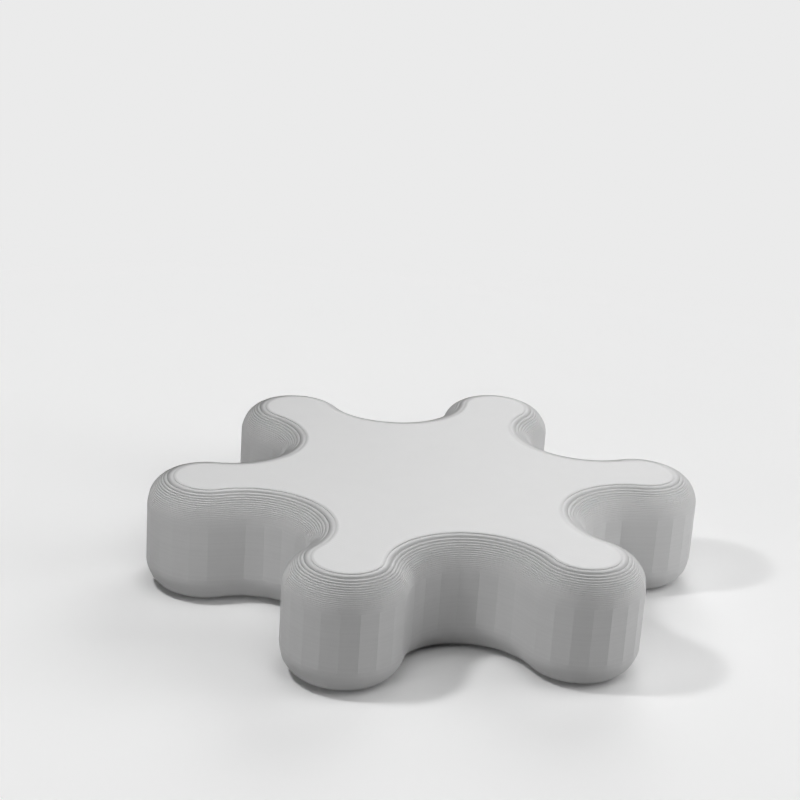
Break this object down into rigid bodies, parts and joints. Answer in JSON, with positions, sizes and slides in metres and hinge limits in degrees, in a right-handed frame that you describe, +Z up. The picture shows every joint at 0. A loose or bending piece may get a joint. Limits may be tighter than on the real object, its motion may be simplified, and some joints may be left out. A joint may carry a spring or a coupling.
{
  "type": "flower knob",
  "caption": "Flat hand knob with rounded lobes, a plain closed top and a blind threaded hole in its base, for turning a bolt or stud by hand.",
  "frame": {"origin": "centre of the flat base, on the knob's axis", "axes": "+Z up along the axis from the base to the flat top, +X through the tip of a lobe"},
  "size_m": [0.07, 0.0626, 0.0142],
  "materials": {
    "printed_plastic": "matte, with fine printed layer lines"
  },
  "bodies": {
    "root": {"flower_knob": "printed_plastic"}
  },
  "joints": []
}
